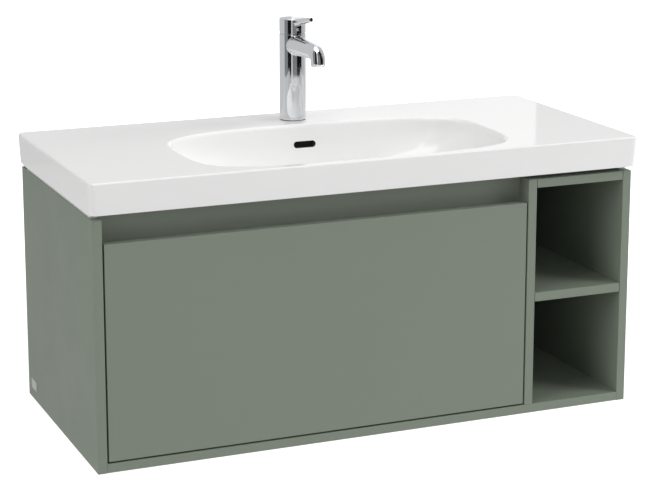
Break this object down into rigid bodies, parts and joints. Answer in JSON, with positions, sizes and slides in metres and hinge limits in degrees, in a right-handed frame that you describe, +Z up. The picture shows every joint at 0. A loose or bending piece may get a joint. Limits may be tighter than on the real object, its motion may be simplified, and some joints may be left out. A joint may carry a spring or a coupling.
{
  "type": "under-sink cabinet",
  "caption": "Wall-hung under-sink cabinet with a deep drawer, an open shelf bay beside it, a ceramic washbasin as its top and a lever mixer tap.",
  "frame": {"origin": "middle of the overall width and depth, at the height of the cabinet underside", "axes": "+X to the right seen from the front, +Y towards the wall, +Z up; the drawer front faces -Y"},
  "size_m": [1, 0.46, 0.6874],
  "materials": {
    "green_board": "matt lacquered board, sage green",
    "drawer_board": "matt grey laminated board",
    "dowel_wood": "plain beech",
    "zinc_steel": "zinc-plated, satin",
    "runner_steel": "galvanised, satin",
    "white_glaze": "glossy white glaze",
    "silicone": "translucent white sealant",
    "chrome": "polished chrome",
    "stainless_steel": "satin stainless steel",
    "brass": "turned",
    "white_plastic": "satin white",
    "black_rubber": "matt black",
    "grey_plastic": "matt dark grey",
    "dot_plastic": "glossy, half dark, half light",
    "blank_metal": "satin, bare"
  },
  "bodies": {
    "carcass": {"aerator_insert": "grey_plastic", "basin": "white_glaze", "bedding_strips": "silicone", "blank_plate": "blank_metal", "bottom_panel": "green_board", "bracket_screws": "zinc_steel", "cabinet_runners": "runner_steel", "cam_fittings": "zinc_steel", "cartridge": "white_plastic", "cartridge_nut": "brass", "dowels": "dowel_wood", "fixing_nut": "stainless_steel", "fixing_stud": "stainless_steel", "grip_rail": "green_board", "hanging_brackets": "white_plastic", "hanging_hooks": "zinc_steel", "left_side_panel": "green_board", "middle_shelf": "green_board", "partition_panel": "green_board", "plug_guide": "white_plastic", "rear_bottom_rail": "green_board", "rear_top_rail": "green_board", "right_side_panel": "green_board", "rubber_horseshoe": "black_rubber", "shelf_bay_back": "green_board", "shelf_bay_top": "green_board", "slip_nuts": "white_plastic", "steel_horseshoe": "stainless_steel", "tap_body": "chrome", "tap_gasket": "black_rubber", "tap_spout": "chrome", "trap_bottle": "white_plastic", "trap_cup": "white_plastic", "trap_inlet_pipe": "white_plastic", "wall_pipe": "white_plastic", "wall_rail": "zinc_steel", "waste_back_nut": "white_plastic", "waste_flange": "chrome", "waste_seal": "black_rubber"},
    "drawer": {"drawer_front": "green_board", "drawer_left_side": "drawer_board", "drawer_right_side": "drawer_board", "drawer_back_boards": "drawer_board", "drawer_bottom": "drawer_board", "trap_surround": "white_plastic", "drawer_angle_brackets": "zinc_steel", "drawer_screws": "zinc_steel", "drawer_runners": "runner_steel"},
    "middle_runners": {"middle_runners": "runner_steel"},
    "outer_strips": {"outer_ball_strips": "runner_steel"},
    "inner_strips": {"inner_ball_strips": "runner_steel"},
    "tap_swivel": {"swivel_cover": "chrome", "stem_pin": "stainless_steel"},
    "tap_lever": {"handle_cap": "chrome", "lever": "chrome", "handle_stem": "brass", "index_dot": "dot_plastic"},
    "plug": {"waste_plug": "chrome", "plug_seal": "black_rubber"}
  },
  "joints": [
    {"name": "drawer_slide", "type": "slide", "parent": "carcass", "child": "drawer", "axis": [0, -1, 0], "range_m": [0, 0.35]},
    {"name": "middle_runner_slide", "type": "slide", "parent": "carcass", "child": "middle_runners", "axis": [0, -1, 0], "range_m": [0, 0.175]},
    {"name": "outer_strip_slide", "type": "slide", "parent": "carcass", "child": "outer_strips", "axis": [0, -1, 0], "range_m": [0, 0.0875]},
    {"name": "inner_strip_slide", "type": "slide", "parent": "carcass", "child": "inner_strips", "axis": [0, -1, 0], "range_m": [0, 0.2625]},
    {"name": "tap_temperature", "type": "hinge", "parent": "carcass", "child": "tap_swivel", "pos_m": [0, 0.161, 0.65], "axis": [0, 0, 1], "range_deg": [-45, 45]},
    {"name": "tap_lift", "type": "hinge", "parent": "tap_swivel", "child": "tap_lever", "pos_m": [0, 0.161, 0.65], "axis": [-1, 0, 0], "range_deg": [0, 20]},
    {"name": "plug_slide", "type": "slide", "parent": "carcass", "child": "plug", "axis": [0, 0, 1], "range_m": [0, 0.009]}
  ],
  "couplings": [
    {"joint": "middle_runner_slide", "follows": "drawer_slide", "ratio": 0.5},
    {"joint": "outer_strip_slide", "follows": "drawer_slide", "ratio": 0.25},
    {"joint": "inner_strip_slide", "follows": "drawer_slide", "ratio": 0.75}
  ]
}
